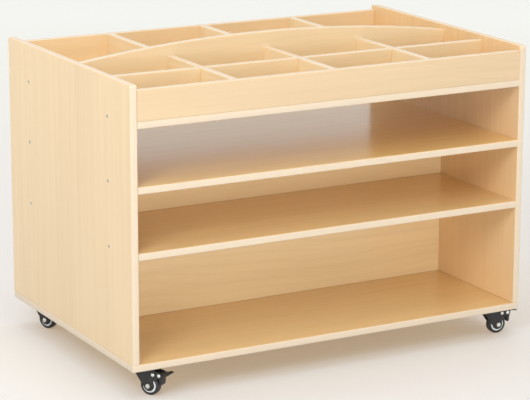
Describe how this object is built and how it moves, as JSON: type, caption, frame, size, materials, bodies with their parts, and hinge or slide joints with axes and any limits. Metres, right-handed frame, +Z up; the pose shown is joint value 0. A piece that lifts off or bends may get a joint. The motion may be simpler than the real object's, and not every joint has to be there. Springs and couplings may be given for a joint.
{
  "type": "mobile classroom storage unit",
  "caption": "Double-sided mobile storage unit of pale boards with a divided tray top, an arched divider, open shelves on both long sides and braked swivel casters.",
  "frame": {"origin": "on the floor, under the middle of the cabinet", "axes": "+X to the right seen from the front with the small compartments, +Y to the back, +Z up"},
  "size_m": [1.1443, 0.7446, 0.8032],
  "materials": {
    "board": "satin clear lacquer",
    "connector_screw": "dark bronze plated",
    "black_steel": "black powder coat",
    "bright_steel": "bright zinc",
    "black_tyre": "smooth",
    "pale_hub": "moulded"
  },
  "bodies": {
    "cabinet": {"base_board": "board", "left_side_panel": "board", "right_side_panel": "board", "lower_shelf": "board", "upper_shelf": "board", "tray_floor": "board", "lower_centre_panel": "board", "upper_centre_panel": "board", "front_rail": "board", "back_rail": "board", "arched_divider": "board", "long_divider": "board", "front_cross_divider_1": "board", "front_cross_divider_2": "board", "front_cross_divider_3": "board", "rear_cross_divider_1": "board", "rear_cross_divider_2": "board", "rear_cross_divider_3": "board", "left_tray_floor_screw_front": "connector_screw", "left_tray_floor_screw_back": "connector_screw", "left_upper_shelf_screw_front": "connector_screw", "left_upper_shelf_screw_back": "connector_screw", "left_lower_shelf_screw_front": "connector_screw", "left_lower_shelf_screw_back": "connector_screw", "right_tray_floor_screw_front": "connector_screw", "right_tray_floor_screw_back": "connector_screw", "right_upper_shelf_screw_front": "connector_screw", "right_upper_shelf_screw_back": "connector_screw", "right_lower_shelf_screw_front": "connector_screw", "right_lower_shelf_screw_back": "connector_screw", "front_left_caster_plate": "black_steel", "front_left_kingpin": "bright_steel", "front_right_caster_plate": "black_steel", "front_right_kingpin": "bright_steel", "back_left_caster_plate": "black_steel", "back_left_kingpin": "bright_steel", "back_right_caster_plate": "black_steel", "back_right_kingpin": "bright_steel"},
    "front_left_swivel": {"front_left_fork": "black_steel", "front_left_axle_bolt": "bright_steel"},
    "front_left_wheel": {"front_left_tyre": "black_tyre", "front_left_wheel_hub": "pale_hub"},
    "front_left_brake": {"front_left_brake_pedal": "black_steel"},
    "front_right_swivel": {"front_right_fork": "black_steel", "front_right_axle_bolt": "bright_steel"},
    "front_right_wheel": {"front_right_tyre": "black_tyre", "front_right_wheel_hub": "pale_hub"},
    "front_right_brake": {"front_right_brake_pedal": "black_steel"},
    "back_left_swivel": {"back_left_fork": "black_steel", "back_left_axle_bolt": "bright_steel"},
    "back_left_wheel": {"back_left_tyre": "black_tyre", "back_left_wheel_hub": "pale_hub"},
    "back_left_brake": {"back_left_brake_pedal": "black_steel"},
    "back_right_swivel": {"back_right_fork": "black_steel", "back_right_axle_bolt": "bright_steel"},
    "back_right_wheel": {"back_right_tyre": "black_tyre", "back_right_wheel_hub": "pale_hub"},
    "back_right_brake": {"back_right_brake_pedal": "black_steel"}
  },
  "joints": [
    {"name": "front_left_swivel_turn", "type": "hinge", "parent": "cabinet", "child": "front_left_swivel", "pos_m": [-0.506, -0.307, 0.0665], "axis": [0, 0, 1], "continuous": true},
    {"name": "front_left_wheel_spin", "type": "hinge", "parent": "front_left_swivel", "child": "front_left_wheel", "pos_m": [-0.4937, -0.32524, 0.025], "axis": [0.829, 0.5592, 0], "continuous": true},
    {"name": "front_left_brake_press", "type": "hinge", "parent": "front_left_swivel", "child": "front_left_brake", "pos_m": [-0.47748, -0.34928, 0.0545], "axis": [0.829, 0.5592, 0], "range_deg": [0, 11]},
    {"name": "front_right_swivel_turn", "type": "hinge", "parent": "cabinet", "child": "front_right_swivel", "pos_m": [0.506, -0.307, 0.0665], "axis": [0, 0, 1], "continuous": true},
    {"name": "front_right_wheel_spin", "type": "hinge", "parent": "front_right_swivel", "child": "front_right_wheel", "pos_m": [0.52795, -0.30854, 0.025], "axis": [0.0698, 0.9976, 0], "continuous": true},
    {"name": "front_right_brake_press", "type": "hinge", "parent": "front_right_swivel", "child": "front_right_brake", "pos_m": [0.55688, -0.31056, 0.0545], "axis": [0.0698, 0.9976, 0], "range_deg": [0, 11]},
    {"name": "back_left_swivel_turn", "type": "hinge", "parent": "cabinet", "child": "back_left_swivel", "pos_m": [-0.506, 0.307, 0.0665], "axis": [0, 0, 1], "continuous": true},
    {"name": "back_left_wheel_spin", "type": "hinge", "parent": "back_left_swivel", "child": "back_left_wheel", "pos_m": [-0.49567, 0.28758, 0.025], "axis": [0.8829, 0.4695, 0], "continuous": true},
    {"name": "back_left_brake_press", "type": "hinge", "parent": "back_left_swivel", "child": "back_left_brake", "pos_m": [-0.48206, 0.26197, 0.0545], "axis": [0.8829, 0.4695, 0], "range_deg": [0, 11]},
    {"name": "back_right_swivel_turn", "type": "hinge", "parent": "cabinet", "child": "back_right_swivel", "pos_m": [0.506, 0.307, 0.0665], "axis": [0, 0, 1], "continuous": true},
    {"name": "back_right_wheel_spin", "type": "hinge", "parent": "back_right_swivel", "child": "back_right_wheel", "pos_m": [0.52667, 0.29948, 0.025], "axis": [0.342, 0.9397, 0], "continuous": true},
    {"name": "back_right_brake_press", "type": "hinge", "parent": "back_right_swivel", "child": "back_right_brake", "pos_m": [0.55392, 0.28956, 0.0545], "axis": [0.342, 0.9397, 0], "range_deg": [0, 11]}
  ]
}
